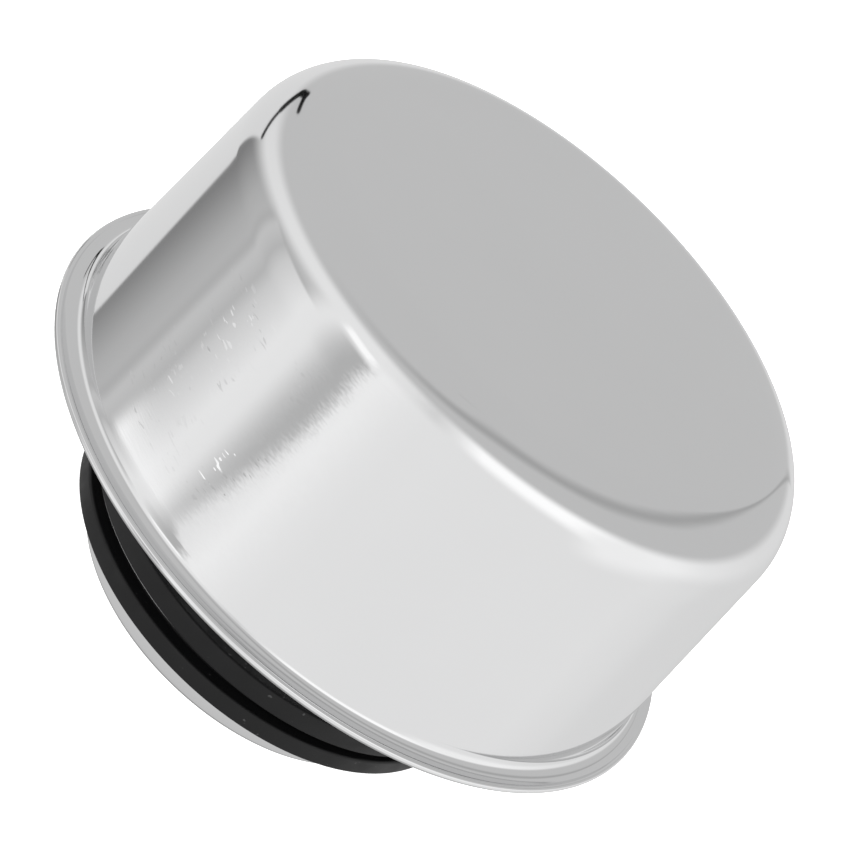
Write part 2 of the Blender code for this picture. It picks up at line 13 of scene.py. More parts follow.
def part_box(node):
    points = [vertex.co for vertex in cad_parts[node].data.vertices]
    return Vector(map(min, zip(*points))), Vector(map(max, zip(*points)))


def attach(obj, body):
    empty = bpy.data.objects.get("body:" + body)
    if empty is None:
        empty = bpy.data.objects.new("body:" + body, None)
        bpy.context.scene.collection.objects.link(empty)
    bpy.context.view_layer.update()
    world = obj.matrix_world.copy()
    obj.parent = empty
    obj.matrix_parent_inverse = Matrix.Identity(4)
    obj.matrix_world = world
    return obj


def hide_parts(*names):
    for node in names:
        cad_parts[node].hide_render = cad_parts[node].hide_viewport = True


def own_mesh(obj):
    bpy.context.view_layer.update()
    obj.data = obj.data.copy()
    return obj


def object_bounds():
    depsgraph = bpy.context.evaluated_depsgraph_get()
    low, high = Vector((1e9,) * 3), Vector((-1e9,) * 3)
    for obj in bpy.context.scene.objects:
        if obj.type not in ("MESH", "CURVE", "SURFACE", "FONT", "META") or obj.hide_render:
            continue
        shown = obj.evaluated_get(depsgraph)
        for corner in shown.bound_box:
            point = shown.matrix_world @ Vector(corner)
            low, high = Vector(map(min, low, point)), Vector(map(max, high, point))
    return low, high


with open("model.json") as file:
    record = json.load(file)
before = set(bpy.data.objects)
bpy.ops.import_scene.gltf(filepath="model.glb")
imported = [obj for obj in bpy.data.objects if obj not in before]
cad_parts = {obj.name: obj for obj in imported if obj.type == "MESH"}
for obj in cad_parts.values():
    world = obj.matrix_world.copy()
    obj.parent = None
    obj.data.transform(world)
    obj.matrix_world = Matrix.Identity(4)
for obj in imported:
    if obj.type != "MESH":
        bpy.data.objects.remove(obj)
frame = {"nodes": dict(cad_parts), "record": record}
cad_low, cad_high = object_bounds()

# ---- sizes taken from the frame -----------------------------------------------------------------
CUP_LOW, CUP_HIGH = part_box("cap_shell")
NECK_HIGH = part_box("neck_tube")[1]
GROMMET_LOW, GROMMET_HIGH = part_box("grommet")

MM = 0.001
GAP = 0.3 * MM                       # clearance between touching pieces
SHEET = 0.6 * MM                     # drawn sheet of the cup

RIM_RADIUS = CUP_HIGH.x
TOP_Z = CUP_HIGH.z
RIM_Z = CUP_LOW.z + SHEET / 2        # middle of the rim's sheet
WALL_RADIUS = RIM_RADIUS - 2.4 * MM  # wall carried down to the height of the rim
WALL_TAPER = 0.0679
CORNER_RADIUS = 7.8 * MM
FILLET_RADIUS = 1.55 * MM            # hollow between wall and rim
BEAD_RADIUS = 0.4 * MM               # rim's edge, a little thicker than its sheet

NECK_SHEET = 1.0 * MM
NECK_RADIUS = 21.2 * MM
NECK_LEAN = 0.25 * MM                # the neck sits this far towards -X in its ring
FOOT_RADIUS = 0.45 * MM
BEADS_Z = (12.3 * MM, 21.5 * MM)     # stop bead, and the bead that holds the pan
BEAD_LINE_RADIUS = 1.3 * MM
FLANGE_TOP = NECK_HIGH.z

LIP_EDGE = 0.3 * MM                  # rounding of the rubber's edges
LIP_RADIUS = GROMMET_HIGH.x
GROOVE_RADIUS = LIP_RADIUS - 1.9 * MM
LOWER_LIP_TOP = GROMMET_LOW.z + 2.15 * MM
UPPER_LIP_LOW = LOWER_LIP_TOP + 1.5 * MM
LIP_DROOP = 0.85 * MM                # how far the upper lip hangs down on its low side
BORE_DROOP = 0.3                     # share of that droop at the ring's bore

ROUND = 288                          # facets round a turned piece
SHARP_ANGLE = radians(32)


# ---- outlines: lists of (radius, z) -------------------------------------------------------------
def arc(centre, radius, start, end, pieces):
    """Points on an arc, both ends included."""
    step = (end - start) / pieces
    return [(centre[0] + radius * cos(start + step * i), centre[1] + radius * sin(start + step * i))
            for i in range(pieces + 1)]


def line(start, end, pieces):
    """Points between two others, both left out."""
    run, rise = end[0] - start[0], end[1] - start[1]
    return [(start[0] + run * i / pieces, start[1] + rise * i / pieces) for i in range(1, pieces)]


# ---- meshes -------------------------------------------------------------------------------------
def add_turned(mesh_data, outline, centre_x=0.0):
    """Turn a closed outline about the vertical line at centre_x and add the solid to a bmesh."""
    rings = []
    for radius, z in outline:
        if radius == 0:
            rings.append([mesh_data.verts.new((centre_x, 0.0, z))])
            continue
        ring = []
        for step in range(ROUND):
            angle = 2 * pi * step / ROUND
            ring.append(mesh_data.verts.new((centre_x + radius * cos(angle),
                                             radius * sin(angle), z)))
        rings.append(ring)
    for ring, after in zip(rings, rings[1:] + rings[:1]):
        if len(ring) == 1 and len(after) == 1:
            continue
        for step in range(ROUND):
            far = (step + 1) % ROUND
            if len(ring) == 1:
                mesh_data.faces.new((ring[0], after[far], after[step]))
            elif len(after) == 1:
                mesh_data.faces.new((ring[step], ring[far], after[0]))
            else:
                mesh_data.faces.new((ring[step], ring[far], after[far], after[step]))


def finish_piece(name, mesh_data, material, body, replaced):
    """Make the object of a bmesh, and say what it rides on and stands for."""
    bmesh.ops.recalc_face_normals(mesh_data, faces=mesh_data.faces)
    mesh = bpy.data.meshes.new(name)
    mesh_data.to_mesh(mesh)
    mesh_data.free()
    mesh.shade_smooth()
    mesh.set_sharp_from_angle(angle=SHARP_ANGLE)
    mesh.materials.append(material)
    piece = bpy.data.objects.new(name, mesh)
    bpy.context.scene.collection.objects.link(piece)
    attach(piece, body)
    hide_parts(replaced)
    return piece


# ---- shader graphs ------------------------------------------------------------------------------
class Graph:
    """Short ways to add nodes to a tree."""

    def __init__(self, tree):
        self.tree = tree

    def add(self, kind, **settings):
        node = self.tree.nodes.new(kind)
        for key, value in settings.items():
            setattr(node, key, value)
        return node

    def put(self, socket, value):
        """Link an output to a socket, or set the socket's value."""
        if isinstance(value, bpy.types.NodeSocket):
            self.tree.links.new(value, socket)
        else:
            socket.default_value = value

    def math(self, operation, *values):
        """One step of arithmetic on outputs or numbers."""
        node = self.add("ShaderNodeMath", operation=operation)
        for socket, value in zip(node.inputs, values):
            self.put(socket, value)
        return node.outputs[0]

    def ramp(self, value, low, high, start=0.0, end=1.0, smooth=True):
        """start where value is low or less, end where it is high or more."""
        kind = "SMOOTHSTEP" if smooth else "LINEAR"
        node = self.add("ShaderNodeMapRange", interpolation_type=kind)
        for socket, number in zip(node.inputs[:5], (value, low, high, start, end)):
            self.put(socket, number)
        return node.outputs[0]

    def curve(self, value, points):
        """A tone that follows listed points of (value, tone), evenly eased between them."""
        low, high = points[0][0], points[-1][0]
        where = self.ramp(value, low, high, smooth=False)
        node = self.add("ShaderNodeValToRGB")
        stops = node.color_ramp.elements
        while len(stops) > 1:
            stops.remove(stops[-1])
        for number, (place, tone_value) in enumerate(points):
            share = (place - low) / (high - low)
            stop = stops[0] if number == 0 else stops.new(share)
            stop.position = share
            stop.color = (tone_value,) * 3 + (1.0,)
        self.put(node.inputs[0], where)
        split = self.add("ShaderNodeSeparateColor")
        self.put(split.inputs[0], node.outputs[0])
        return split.outputs[0]

    def window(self, value, start, end, soft_start, soft_end):
        """1 between start and end, falling to 0 over the soft widths outside them."""
        rise = self.ramp(value, start - soft_start, start)
        fall = self.ramp(value, end, end + soft_end, 1.0, 0.0)
        return self.math("MULTIPLY", rise, fall)

    def both(self, *masks):
        """Where all of the masks hold."""
        result = masks[0]
        for mask in masks[1:]:
            result = self.math("MULTIPLY", result, mask)
        return result

    def lay(self, under, over, mask):
        """over where the mask is 1, under where it is 0."""
        node = self.add("ShaderNodeMix", data_type="FLOAT")
        for socket, value in zip(node.inputs[:1] + node.inputs[2:4], (mask, under, over)):
            self.put(socket, value)
        return node.outputs[0]


# ---- materials ----------------------------------------------------------------------------------
def new_material(name, colour, roughness, metallic=0.0):
    """A Principled material, with its graph and shader."""
    material = bpy.data.materials.new(name)
    material.use_nodes = True
    graph = Graph(material.node_tree)
    shader = material.node_tree.nodes["Principled BSDF"]
    shader.inputs["Base Color"].default_value = (*colour, 1.0)
    shader.inputs["Roughness"].default_value = roughness
    shader.inputs["Metallic"].default_value = metallic
    return material, graph, shader


def place(graph):
    """The point on the piece, in metres."""
    return graph.add("ShaderNodeTexCoord").outputs["Object"]


def noise(graph, vector, scale, detail=2.0, roughness=0.5):
    """Noise from 0 to 1 with this many cells to a metre."""
    node = graph.add("ShaderNodeTexNoise")
    graph.put(node.inputs["Vector"], vector)
    node.inputs["Scale"].default_value = scale
    node.inputs["Detail"].default_value = detail
    node.inputs["Roughness"].default_value = roughness
    return node.outputs[0]


def round_place(graph):
    """x, y, z, distance from the axis and degrees about +Z from +X of the point on the piece."""
    split = graph.add("ShaderNodeSeparateXYZ")
    graph.put(split.inputs[0], place(graph))
    x, y, z = split.outputs
    radius = graph.math("SQRT", graph.math("ADD", graph.math("MULTIPLY", x, x),
                                           graph.math("MULTIPLY", y, y)))
    radius = graph.math("MAXIMUM", radius, MM)
    return x, y, z, radius, graph.math("DEGREES", graph.math("ARCTAN2", y, x))


def lathe_place(graph, along, across):
    """Place in a pattern drawn out round the axis: along cells round it, across cells a metre."""
    x, y, z, radius, _ = round_place(graph)
    joined = graph.add("ShaderNodeCombineXYZ")
    graph.put(joined.inputs[0], graph.math("MULTIPLY", graph.math("DIVIDE", x, radius), along))
    graph.put(joined.inputs[1], graph.math("MULTIPLY", graph.math("DIVIDE", y, radius), along))
    graph.put(joined.inputs[2], graph.math("MULTIPLY", graph.math("SUBTRACT", z, radius), across))
    return joined.outputs[0]


def bump(graph, height, distance, normal=None):
    """Surface relief: height runs from 0 to 1 over this distance."""
    node = graph.add("ShaderNodeBump")
    graph.put(node.inputs["Height"], height)
    node.inputs["Distance"].default_value = distance
    if normal is not None:
        graph.put(node.inputs["Normal"], normal)
    return node.outputs[0]


def tinted(graph, shader, colours, mask):
    """Base colour that runs between two colours."""
    node = graph.add("ShaderNodeMix", data_type="RGBA")
    graph.put(node.inputs[0], mask)
    for socket, colour in zip(node.inputs[6:8], colours):
        socket.default_value = (*colour, 1.0)
    graph.put(shader.inputs["Base Color"], node.outputs[2])


CHROME_TONE = 0.86                   # share of the light that polished chrome gives back
POLISH_STREAKS_ROUND = 26.0          # polishing lines: short strokes round the axis
POLISH_LINES = 5500.0                # and across it, to a metre
POLISH_DEPTH = 3.5e-7
WAVE_CELLS = 62.0                    # slow waves left by the drawing press, to a metre
WAVE_DEPTH = 1.1e-5
PATCH_ANGLE = -111.0                 # degrees about +Z from +X: a patch polished less evenly
PATCH_HALF = 13.0                    # degrees
PATCH_LOW, PATCH_HIGH = 27.0 * MM, 41.0 * MM
SWIRL = 0.055                        # how far the patch's strokes turn the surface sideways
SWIRL_CELLS = (45.0, 4200.0)         # round the axis, and to a metre across it
FLECK_TILT = 0.62                    # how far its scratches turn the surface upwards
FLECK_CELLS = (30.0, 3600.0)
GLOSS = (0.045, 0.085)               # roughness of clear and of hazy plate


def chrome_material():
    """Bright plate over polished steel: polishing strokes, slow waves, fine scratches."""
    material, graph, shader = new_material("chrome_plate", (CHROME_TONE,) * 3, 0.06, 1.0)
    x, y, z, radius, angle = round_place(graph)
    patch = graph.window(angle, PATCH_ANGLE - PATCH_HALF, PATCH_ANGLE + PATCH_HALF, 9.0, 9.0)
    strokes = noise(graph, lathe_place(graph, POLISH_STREAKS_ROUND, POLISH_LINES), 1.0, 1.5)
    relief = bump(graph, strokes, POLISH_DEPTH)
    waves = noise(graph, place(graph), WAVE_CELLS, 1.0)
    relief = bump(graph, waves, WAVE_DEPTH, relief)

    # strokes and scratches of the patch, as turns of the surface round the axis and upwards
    swirl = graph.math("SUBTRACT", noise(graph, lathe_place(graph, *SWIRL_CELLS), 1.0, 2.0), 0.5)
    side = graph.window(angle, PATCH_ANGLE + 8.0, PATCH_ANGLE + 15.0, 8.0, 9.0)
    swirl = graph.math("MULTIPLY", swirl, graph.math("MULTIPLY", side, SWIRL))
    scratches = noise(graph, lathe_place(graph, *FLECK_CELLS), 1.0, 0.0)
    area = graph.ramp(noise(graph, place(graph), 110.0, 2.0), 0.44, 0.56)
    upright = graph.window(z, PATCH_LOW, PATCH_HIGH, 2.0 * MM, 2.5 * MM)
    left = graph.ramp(angle, PATCH_ANGLE + 2, PATCH_ANGLE + 8, 1.0, 0.0)
    area = graph.both(area, patch, upright, left)
    scratches = graph.math("MULTIPLY", graph.ramp(scratches, 0.70, 0.735), area)
    round_axis = graph.math("DIVIDE", swirl, radius)
    turn = graph.add("ShaderNodeCombineXYZ")
    graph.put(turn.inputs[0], graph.math("MULTIPLY", graph.math("MULTIPLY", y, -1.0), round_axis))
    graph.put(turn.inputs[1], graph.math("MULTIPLY", x, round_axis))
    graph.put(turn.inputs[2], graph.math("MULTIPLY", scratches, FLECK_TILT))
    total = graph.add("ShaderNodeVectorMath", operation="ADD")
    graph.put(total.inputs[0], relief)
    graph.put(total.inputs[1], turn.outputs[0])
    unit = graph.add("ShaderNodeVectorMath", operation="NORMALIZE")
    graph.put(unit.inputs[0], total.outputs[0])
    graph.put(shader.inputs["Normal"], unit.outputs[0])
    haze = noise(graph, place(graph), 45.0, 3.0, 0.6)
    graph.put(shader.inputs["Roughness"], graph.ramp(haze, 0.3, 0.75, *GLOSS))
    tinted(graph, shader, ((0.875, 0.876, 0.880), (0.845, 0.846, 0.850)), haze)
    return material


def pressed_steel_material(name, light, dark, rough, lines):
    """Plated or bare pressed steel with rolled grain and faint blotches."""
    material, graph, shader = new_material(name, light, rough, 1.0)
    grain = noise(graph, lathe_place(graph, 14.0, lines), 1.0, 2.0)
    blotches = noise(graph, place(graph), 260.0, 4.0, 0.6)
    tinted(graph, shader, (light, dark), graph.ramp(blotches, 0.35, 0.7))
    mixed = graph.math("MULTIPLY", graph.math("ADD", grain, blotches), 0.5)
    graph.put(shader.inputs["Roughness"], graph.ramp(mixed, 0.3, 0.7, rough - 0.08, rough + 0.12))
    graph.put(shader.inputs["Normal"], bump(graph, grain, 2.0e-6))
    return material


# painted highlight: a pale line along part of the upper lip's lower edge, where that edge catches the
# light
EDGE_HIGHLIGHT_START, EDGE_HIGHLIGHT_END = -134.0, -108.0   # degrees about +Z from +X
EDGE_HIGHLIGHT_WIDTH = 0.10 * MM


def painted_edge_highlight(graph):
    """Mask of the painted highlight along part of the upper lip's lower edge."""
    x, _, z, radius, angle = round_place(graph)
    low_side = graph.math("MULTIPLY", graph.math("ADD", graph.math("DIVIDE", x, radius), 1.0), 0.5)
    droop = graph.math("MULTIPLY", graph.math("MULTIPLY", low_side, low_side), LIP_DROOP)
    height = graph.math("ADD", z, droop)
    start = UPPER_LIP_LOW + 0.04 * MM
    line_mask = graph.window(height, start, start + EDGE_HIGHLIGHT_WIDTH, 0.03 * MM, 0.04 * MM)
    along = graph.window(angle, EDGE_HIGHLIGHT_START, EDGE_HIGHLIGHT_END, 6.0, 10.0)
    outside = graph.ramp(radius, LIP_RADIUS - 0.4 * MM, LIP_RADIUS - 0.25 * MM)
    return graph.both(line_mask, along, outside)


def rubber_material():
    """Satin moulded rubber with a fine grain, a little dust, and a painted highlight on the upper
    lip's lower edge.
    """
    material, graph, shader = new_material("moulded_rubber", (0.006, 0.006, 0.006), 0.42)
    grain = noise(graph, place(graph), 5200.0, 3.0, 0.6)
    cloud = noise(graph, place(graph), 320.0, 3.0)
    dust = graph.ramp(noise(graph, place(graph), 1500.0, 1.0), 0.735, 0.79)
    dust = graph.math("MULTIPLY", dust, 0.1)
    # pale where there is dust, and along the painted highlight on the upper lip's lower edge
    pale = graph.math("MAXIMUM", dust, graph.math("MULTIPLY", painted_edge_highlight(graph), 0.9))
    tinted(graph, shader, ((0.0055, 0.0055, 0.0058), (0.55, 0.55, 0.55)), pale)
    graph.put(shader.inputs["Roughness"], graph.ramp(cloud, 0.3, 0.7, 0.36, 0.50))
    shader.inputs["Specular IOR Level"].default_value = 0.32
    graph.put(shader.inputs["Normal"], bump(graph, grain, 8.0e-6))
    return material


def paper_material():
    """Resin-treated filter paper with a fibrous surface."""
    material, graph, shader = new_material("pleated_paper", (0.62, 0.50, 0.30), 0.9)
    fibres = noise(graph, place(graph), 2400.0, 5.0, 0.7)
    tinted(graph, shader, ((0.66, 0.54, 0.33), (0.50, 0.39, 0.22)), fibres)
    graph.put(shader.inputs["Normal"], bump(graph, fibres, 4.0e-5))
    return material


def felt_material():
    """Pressed grey felt."""
    material, graph, shader = new_material("pressed_felt", (0.20, 0.195, 0.19), 0.95)
    fibres = noise(graph, place(graph), 3400.0, 6.0, 0.75)
    tinted(graph, shader, ((0.25, 0.245, 0.24), (0.13, 0.125, 0.12)), fibres)
    shader.inputs["Sheen Weight"].default_value = 0.3
    graph.put(shader.inputs["Normal"], bump(graph, fibres, 8.0e-5))
    return material


CHROME = chrome_material()
ZINC = pressed_steel_material("zinc_plate", (0.60, 0.61, 0.62), (0.48, 0.50, 0.53), 0.34, 1800.0)
SPRING = pressed_steel_material("spring_wire", (0.46, 0.46, 0.47), (0.33, 0.33, 0.34), 0.30, 6000.0)
BRASS = pressed_steel_material("stamped_brass", (0.78, 0.60, 0.30), (0.62, 0.44, 0.19), 0.28,
                               1800.0)
RUBBER = rubber_material()
PAPER = paper_material()
FELT = felt_material()
SLOT_MATERIALS = {"chrome": CHROME, "zinc_steel": ZINC, "spring_steel": SPRING, "brass": BRASS,
                  "black_rubber": RUBBER, "filter_paper": PAPER, "felt": FELT}


# ---- cup, neck and grommet ----------------------------------------------------------------------
def cup_side(inset, pieces):
    """One skin of the cup from the top's edge to the rim; inset 0 is the outer skin."""
    slope = atan(WALL_TAPER)
    corner_z = TOP_Z - CORNER_RADIUS
    corner_r = WALL_RADIUS - WALL_TAPER * (corner_z - RIM_Z) - CORNER_RADIUS / cos(slope)
    fillet_z = RIM_Z + SHEET / 2 + FILLET_RADIUS
    fillet_r = WALL_RADIUS - WALL_TAPER * (fillet_z - RIM_Z) + FILLET_RADIUS / cos(slope)
    corner = arc((corner_r, corner_z), CORNER_RADIUS - inset, pi / 2, slope, 2 * pieces)
    fillet = arc((fillet_r, fillet_z), FILLET_RADIUS + inset, pi + slope, 3 * pi / 2, pieces)
    return corner + line(corner[-1], fillet[0], 24) + fillet


def make_cup():
    """Chrome cup with a flat rim, skin inside and out."""
    outer = cup_side(0.0, 24)
    inner = cup_side(SHEET, 10)
    # the thick edge meets the sheet in two small hollows of its own radius
    rise = SHEET / 2 + BEAD_RADIUS
    across = sqrt((2 * BEAD_RADIUS) ** 2 - rise ** 2)
    meet = atan2(rise, -across)
    centre = (RIM_RADIUS - BEAD_RADIUS, RIM_Z)
    upper = arc((centre[0] - across, RIM_Z + rise), BEAD_RADIUS, 3 * pi / 2, pi + meet, 6)
    lower = arc((centre[0] - across, RIM_Z - rise), BEAD_RADIUS, pi - meet, pi / 2, 6)
    rim = upper + arc(centre, BEAD_RADIUS, meet, -meet, 32)[1:-1] + lower
    flat = [(outer[0][0] * share, TOP_Z) for share in (0.2, 0.5, 0.8, 0.95, 0.99, 0.998)]
    outline = [(0, TOP_Z)] + flat + outer + rim + inner[::-1] + [(0, TOP_Z - SHEET)]
    mesh_data = bmesh.new()
    add_turned(mesh_data, outline)
    finish_piece("cup_skin", mesh_data, CHROME, "cap", "cap_shell")


def bead(z, inside):
    """One skin of a pressed bead, from below to above."""
    middle = NECK_RADIUS - NECK_SHEET / 2
    side = -1 if inside else 1
    radius = BEAD_LINE_RADIUS + side * NECK_SHEET / 2
    limit = acos(NECK_SHEET / 2 / radius)
    if inside:
        limit = pi - limit
    return arc((middle, z), radius, -limit, limit, 14)


def make_neck():
    """Neck with a rounded foot, two beads and a flange."""
    inner = NECK_RADIUS - NECK_SHEET
    flange_low = FLANGE_TOP - NECK_SHEET
    flange_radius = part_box("valve_seat")[1].x
    outline = arc((inner + FOOT_RADIUS, FOOT_RADIUS), FOOT_RADIUS, pi, 3 * pi / 2, 8)
    outline += arc((NECK_RADIUS - FOOT_RADIUS, FOOT_RADIUS), FOOT_RADIUS, -pi / 2, 0, 8)
    outline += line(outline[-1], (NECK_RADIUS, BEADS_Z[0]), 8)[:-1]
    for z in BEADS_Z:
        outline += bead(z, inside=False)
    outline += [(NECK_RADIUS, flange_low), (flange_radius, flange_low)]
    outline += [(flange_radius, FLANGE_TOP), (inner, FLANGE_TOP)]
    for z in BEADS_Z[::-1]:
        outline += bead(z, inside=True)[::-1]
    mesh_data = bmesh.new()
    add_turned(mesh_data, outline, -NECK_LEAN)
    finish_piece("neck_skin", mesh_data, CHROME, "cap", "neck_tube")


def make_grommet():
    """Rubber ring whose upper lip droops a little towards +X."""
    bore = NECK_RADIUS + GAP
    edge = LIP_EDGE
    outline = arc((bore + edge, GROMMET_LOW.z + edge), edge, pi, 3 * pi / 2, 4)
    outline += arc((LIP_RADIUS - edge, GROMMET_LOW.z + edge), edge, -pi / 2, 0, 8)
    outline += arc((LIP_RADIUS - edge, LOWER_LIP_TOP - edge), edge, 0, pi / 2, 8)
    outline += arc((GROOVE_RADIUS + edge, LOWER_LIP_TOP + edge), edge, 3 * pi / 2, pi, 5)
    outline += arc((GROOVE_RADIUS + edge, UPPER_LIP_LOW - edge), edge, pi, pi / 2, 5)
    outline += arc((LIP_RADIUS - edge, UPPER_LIP_LOW + edge), edge, -pi / 2, 0, 8)
    outline += arc((LIP_RADIUS - edge, GROMMET_HIGH.z - edge), edge, 0, pi / 2, 8)
    outline += arc((bore + edge, GROMMET_HIGH.z - edge), edge, pi / 2, pi, 4)
    mesh_data = bmesh.new()
    add_turned(mesh_data, outline)
    groove_low = LOWER_LIP_TOP + edge
    for vert in mesh_data.verts:
        radius = sqrt(vert.co.x ** 2 + vert.co.y ** 2)
        low_side = (1 + vert.co.x / radius) / 2
        upper = min(1.0, max(0.0, (vert.co.z - groove_low) / (UPPER_LIP_LOW - groove_low)))
        outside = min(1.0, max(0.0, (radius - bore) / (LIP_RADIUS - bore)))
        vert.co.z -= LIP_DROOP * low_side ** 2 * upper * (BORE_DROOP + (1 - BORE_DROOP) * outside)
    finish_piece("grommet_skin", mesh_data, RUBBER, "seal", "grommet")


# ---- valve springs, which shorten as their valves open; each is built at one length -------------
SPRING_STEPS = 48                    # stations to a turn
WIRE_SIDES = 16
TURNS = 4.5
RELIEF_WIRE = 0.5 * MM               # half the wire's thickness
VACUUM_WIRE = 0.25 * MM


def make_spring(name, node, body, wire):
    """Coil spring in its CAD node's place, built at that node's length."""
    low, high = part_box(node)
    count = round(TURNS * SPRING_STEPS)
    rise = (high.z - low.z - 2 * wire) / count
    radius = high.x - wire
    mesh_data = bmesh.new()
    rings = []
    for step in range(count + 1):
        angle = 2 * pi * step / SPRING_STEPS
        ring = []
        for side in range(WIRE_SIDES):
            around = 2 * pi * side / WIRE_SIDES
            reach = radius + wire * cos(around)
            ring.append(mesh_data.verts.new((reach * cos(angle), reach * sin(angle),
                                             low.z + wire + rise * step + wire * sin(around))))
        rings.append(ring)
    for ring, after in zip(rings, rings[1:]):
        for side in range(WIRE_SIDES):
            other = (side + 1) % WIRE_SIDES
            mesh_data.faces.new((ring[side], ring[other], after[other], after[side]))
    mesh_data.faces.new(rings[0])
    mesh_data.faces.new(rings[-1][::-1])
    spring = finish_piece(name, mesh_data, SPRING, body, node)
    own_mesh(spring)


make_cup()
make_neck()
make_grommet()
make_spring("relief_coil", "relief_spring", "cap", RELIEF_WIRE)
make_spring("vacuum_coil", "vacuum_spring", "relief_valve", VACUUM_WIRE)

# the pieces that stay as packed take the material of their slot
SUBPARTS = {part["node"]: part["material_slot"] for part in frame["record"]["subparts"]}
for name, thing in frame["nodes"].items():
    if not thing.hide_render:
        thing.data.materials.clear()
        thing.data.materials.append(SLOT_MATERIALS[SUBPARTS[name]])


# ---- studio: what the chrome mirrors ------------------------------------------------------------
def tone(level):
    """Radiance of a card that polished chrome shows at this display level, from 0 to 255."""
    share = level / 255
    if share <= 0.04045:
        linear = share / 12.92
    else:
        linear = ((share + 0.055) / 1.055) ** 2.4
    return linear / CHROME_TONE


def tones(points):
    """The same for a list of (place, level)."""
    return [(spot, tone(level)) for spot, level in points]


def stroke(graph, azimuth, elevation, start, end, width, soft):
    """A straight stroke on the sky between two (azimuth, elevation) points, in degrees."""
    run = (end[0] - start[0], end[1] - start[1])
    length = run[0] ** 2 + run[1] ** 2
    across = graph.math("SUBTRACT", azimuth, start[0])
    upward = graph.math("SUBTRACT", elevation, start[1])
    along = graph.math("ADD", graph.math("MULTIPLY", across, run[0] / length),
                       graph.math("MULTIPLY", upward, run[1] / length))
    along = graph.math("MINIMUM", graph.math("MAXIMUM", along, 0.0), 1.0)
    off_a = graph.math("SUBTRACT", across, graph.math("MULTIPLY", along, run[0]))
    off_e = graph.math("SUBTRACT", upward, graph.math("MULTIPLY", along, run[1]))
    distance = graph.math("SQRT", graph.math("ADD", graph.math("MULTIPLY", off_a, off_a),
                                             graph.math("MULTIPLY", off_e, off_e)))
    return graph.ramp(distance, width, width + soft, 1.0, 0.0)


# Places in the studio are directions from the object, in degrees: azimuth from -Y round towards
# +X, and elevation. Tones are display levels.
WALLS = (
    (-180, 150), (-126, 122), (-119, 134), (-110, 152), (-100, 170), (-92, 177), (-88, 171),
    (-84, 191), (-80, 186), (-76, 178), (-70, 200), (-62, 214), (-54, 228), (-46, 226), (-38, 218),
    (-20, 235), (-8, 226),
    (0, 223), (40, 221), (95, 221), (113, 216), (123, 211), (150, 206), (180, 190))
ABOVE_DARK_WALL = ((8, 160), (13, 178), (20, 192), (34, 206), (60, 212))    # by elevation
STRIP = (
    (-180, 205), (-135, 214), (-100, 219), (-60, 225), (-30, 228), (-12, 222), (0, 208),
    (12, 226), (24, 252), (78, 254), (95, 241), (115, 226), (140, 215), (180, 205))
FLOOR_LEVELS = ((-90, 135), (-60, 160), (-45, 184), (-33, 196))             # by elevation
CARD, FLAG, GLOW, SPOT, CANOPY, SEAM, LEFT_GAP, HOOK = 252, 174, 236, 250, 186, 160, 211, 20
CANOPY_TILT = radians(62.4)          # height of the grey canopy's middle, behind the object
CANOPY_REACH = 67.6                  # degrees from its middle to its edge
SEAM_PLACES = (                      # by azimuth, hundreds of degrees from the canopy's middle
    (-80, 0.56), (-40, 0.53), (0, 0.476), (40, 0.41), (80, 0.364), (100, 0.35), (120, 0.32),
    (140, 0.31), (150, 0.33), (155, 0.36), (158, 0.42), (161, 0.64))
HOOK_PLACES = (                      # azimuth, elevation and half width of a black flag's edge
    (-137, 17, 0.7), (-143.5, 12, 1.3), (-143, 8, 1.3), (-134, 4.5, 0.7), (-122, -1.5, 0.4))
WALL_FOOT = -23.0                    # elevation below which the flag and the gap lean over


def lay_walls(graph, az, el, dip):
    """Light walls all round, with a bright card low down and a darker flag in front."""
    sky = graph.curve(az, tones(WALLS))
    card = graph.both(graph.window(az, -70.0, -46.0, 10.0, 12.0),
                      graph.ramp(el, -26.9, -25.6, 1.0, 0.0))
    sky = graph.lay(sky, tone(CARD), card)
    over = graph.curve(el, tones(ABOVE_DARK_WALL))
    high_left = graph.both(graph.ramp(el, 9.0, 13.0), graph.ramp(az, -62, -48, 1.0, 0.0))
    sky = graph.lay(sky, over, high_left)
    lean = graph.math("ADD", az, graph.math("ADD", graph.math("MULTIPLY", dip, 3.4), 31.0))
    flag = graph.both(graph.ramp(az, -47.0, -31.0), graph.ramp(lean, 2.0, 9.0, 1.0, 0.0),
                      graph.ramp(el, 21.0, 28.0, 1.0, 0.0), graph.ramp(dip, 1.0, 5.0, 1.0, 0.75))
    return graph.lay(sky, tone(FLAG), flag)


def lay_canopy(graph, sky, az, el, off):
    """Grey canopy with a soft dark seam, inside a bright strip with a glow and a spot by it."""
    strip = graph.curve(az, tones(STRIP))
    sky = graph.lay(sky, strip, graph.window(off, 60.0, 73.0, 4.0, 13.0))
    glow = graph.both(graph.window(az, 74, 86, 18, 26), graph.window(el, 14, 26, 22, 14))
    sky = graph.lay(sky, tone(GLOW), glow)
    spot = graph.both(graph.window(az, -40, -30, 6, 6), graph.window(el, 30, 34, 3.5, 3.5))
    sky = graph.lay(sky, tone(SPOT), spot)
    inside = graph.ramp(off, CANOPY_REACH - 9, CANOPY_REACH + 1, 1.0, 0.0)
    sky = graph.lay(sky, tone(CANOPY), inside)
    seam = graph.curve(az, SEAM_PLACES)
    seam = graph.math("MULTIPLY", seam, 100.0)
    seam_off = graph.math("ABSOLUTE", graph.math("SUBTRACT", off, seam))
    seam_mask = graph.both(graph.ramp(seam_off, 0.0, 8.0, 1.0, 0.0), graph.ramp(az, -90, 20),
                           graph.ramp(az, 160, 163, 1.0, 0.0))
    return graph.lay(sky, tone(SEAM), seam_mask)


